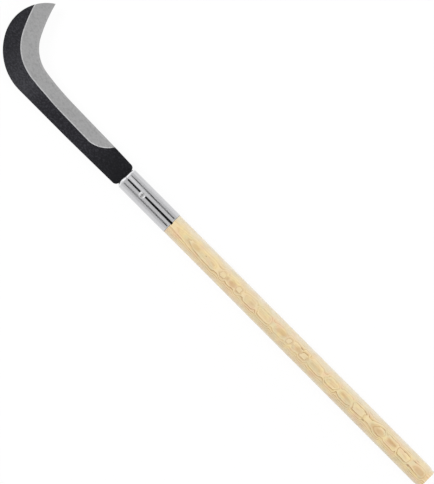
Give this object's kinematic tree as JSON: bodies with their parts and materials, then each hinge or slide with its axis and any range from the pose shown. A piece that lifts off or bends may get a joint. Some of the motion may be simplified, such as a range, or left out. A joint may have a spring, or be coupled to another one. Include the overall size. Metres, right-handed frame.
{
  "type": "long-handled sickle",
  "caption": "Long-handled hooked sickle: black plate blade with a wide ground bevel, open-seam steel ferrule with a cross-head screw, straight round wooden handle.",
  "frame": {"origin": "centre of the handle's flat butt end, on the handle's axis", "axes": "+Y along the handle from the butt to the blade, +X towards the hook and its cutting edge, +Z out of the side with the ferrule's open seam and screw; the tool lies flat with its blade level"},
  "size_m": [0.1218, 0.8692, 0.0359],
  "materials": {
    "blade": "satin black paint, with the bevel ground to bare steel",
    "ferrule": "bright plated sheet steel",
    "handle": "pale planed wood, clear finish",
    "screw": "bright plated steel"
  },
  "bodies": {
    "root": {"blade": "blade", "ferrule": "ferrule", "handle": "handle", "fixing_screw": "screw"}
  },
  "joints": []
}
